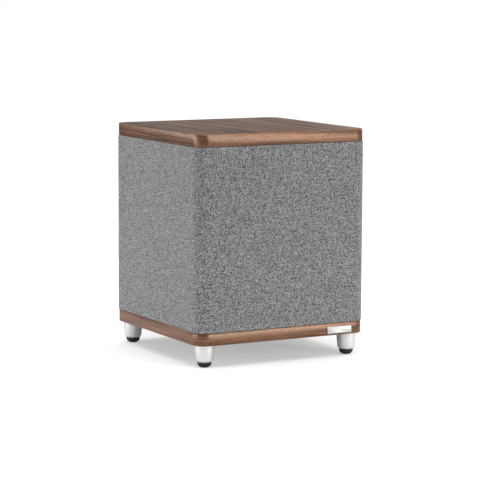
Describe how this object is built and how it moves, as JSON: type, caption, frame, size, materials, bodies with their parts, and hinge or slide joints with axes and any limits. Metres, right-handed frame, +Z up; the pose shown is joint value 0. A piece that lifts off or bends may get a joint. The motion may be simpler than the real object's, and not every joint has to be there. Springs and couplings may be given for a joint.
{
  "type": "subwoofer",
  "caption": "Compact cube subwoofer: cloth-wrapped cabinet between veneered boards on tapered metal feet, with a down-firing driver and a rear plate amplifier.",
  "frame": {"origin": "centre of the part's footprint, on the surface that the feet stand on", "axes": "+Z up, -Y out of the front with the badge, +X to the right seen from the front"},
  "size_m": [0.2712, 0.281, 0.325],
  "materials": {
    "walnut_veneer": "satin",
    "fibreboard": "matte",
    "grey_cloth": "matte",
    "badge_metal": "satin",
    "foot_metal": "satin",
    "foot_rubber": "matte",
    "bright_steel": "satin",
    "black_steel": "satin",
    "black_foam": "matte",
    "cone_paper": "matte",
    "surround_rubber": "matte",
    "trim_plastic": "matte",
    "spider_cloth": "matte",
    "former_aluminium": "satin",
    "copper_wire": "satin",
    "ferrite": "matte",
    "plate_paint": "matte",
    "black_plastic": "matte",
    "spindle_metal": "satin",
    "socket_gold": "polished",
    "circuit_board": "satin",
    "transformer_wrap": "satin",
    "lamp_lens": "gloss",
    "wadding": "matte",
    "lead_sleeve": "matte"
  },
  "bodies": {
    "root": {"top_board": "walnut_veneer", "bottom_board": "walnut_veneer", "front_panel": "fibreboard", "rear_panel": "fibreboard", "left_panel": "fibreboard", "right_panel": "fibreboard", "fabric_wrap": "grey_cloth", "badge_plate": "badge_metal", "foot_body_front_left": "foot_metal", "foot_body_front_right": "foot_metal", "foot_body_back_left": "foot_metal", "foot_body_back_right": "foot_metal", "foot_pad_front_left": "foot_rubber", "foot_pad_front_right": "foot_rubber", "foot_pad_back_left": "foot_rubber", "foot_pad_back_right": "foot_rubber", "foot_bolt_front_left": "bright_steel", "foot_bolt_front_right": "bright_steel", "foot_bolt_back_left": "bright_steel", "foot_bolt_back_right": "bright_steel", "top_plate": "bright_steel", "pole_yoke": "bright_steel", "transformer_bolt": "bright_steel", "phase_switch": "bright_steel", "driver_basket": "black_steel", "driver_screw_1": "black_steel", "driver_screw_2": "black_steel", "driver_screw_3": "black_steel", "driver_screw_4": "black_steel", "amp_screw_1": "black_steel", "amp_screw_2": "black_steel", "amp_screw_3": "black_steel", "amp_screw_4": "black_steel", "driver_gasket": "black_foam", "amp_gasket": "black_foam", "surround": "surround_rubber", "trim_ring": "trim_plastic", "spider": "spider_cloth", "magnet": "ferrite", "amp_plate": "plate_paint", "heatsink": "plate_paint", "power_switch": "black_plastic", "mains_inlet": "black_plastic", "rca_left": "socket_gold", "rca_right": "socket_gold", "circuit_board": "circuit_board", "transformer": "transformer_wrap", "status_led": "lamp_lens", "damping_wadding": "wadding", "driver_lead": "lead_sleeve"},
    "moving_cone": {"cone": "cone_paper", "dust_cap": "cone_paper", "coil_former": "former_aluminium", "coil_winding": "copper_wire"},
    "level_control": {"level_knob": "black_plastic", "level_spindle": "spindle_metal"},
    "crossover_control": {"crossover_knob": "black_plastic", "crossover_spindle": "spindle_metal"},
    "phase_button": {"phase_slider": "black_plastic"},
    "power_button": {"power_rocker": "black_plastic"}
  },
  "joints": [
    {"name": "cone_travel", "type": "slide", "parent": "root", "child": "moving_cone", "axis": [0, 0, 1], "range_m": [-0.008, 0.008], "stiffness_N_per_m": 2100, "deforming": ["surround", "spider"]},
    {"name": "level_turn", "type": "hinge", "parent": "root", "child": "level_control", "pos_m": [0.042, 0.135, 0.186], "axis": [0, 1, 0], "range_deg": [-150, 150]},
    {"name": "crossover_turn", "type": "hinge", "parent": "root", "child": "crossover_control", "pos_m": [0, 0.135, 0.186], "axis": [0, 1, 0], "range_deg": [-150, 150]},
    {"name": "phase_slide", "type": "slide", "parent": "root", "child": "phase_button", "axis": [-1, 0, 0], "range_m": [0, 0.004]},
    {"name": "power_rock", "type": "hinge", "parent": "root", "child": "power_button", "pos_m": [0.03, 0.1299, 0.116], "axis": [1, 0, 0], "range_deg": [0, 16]}
  ]
}
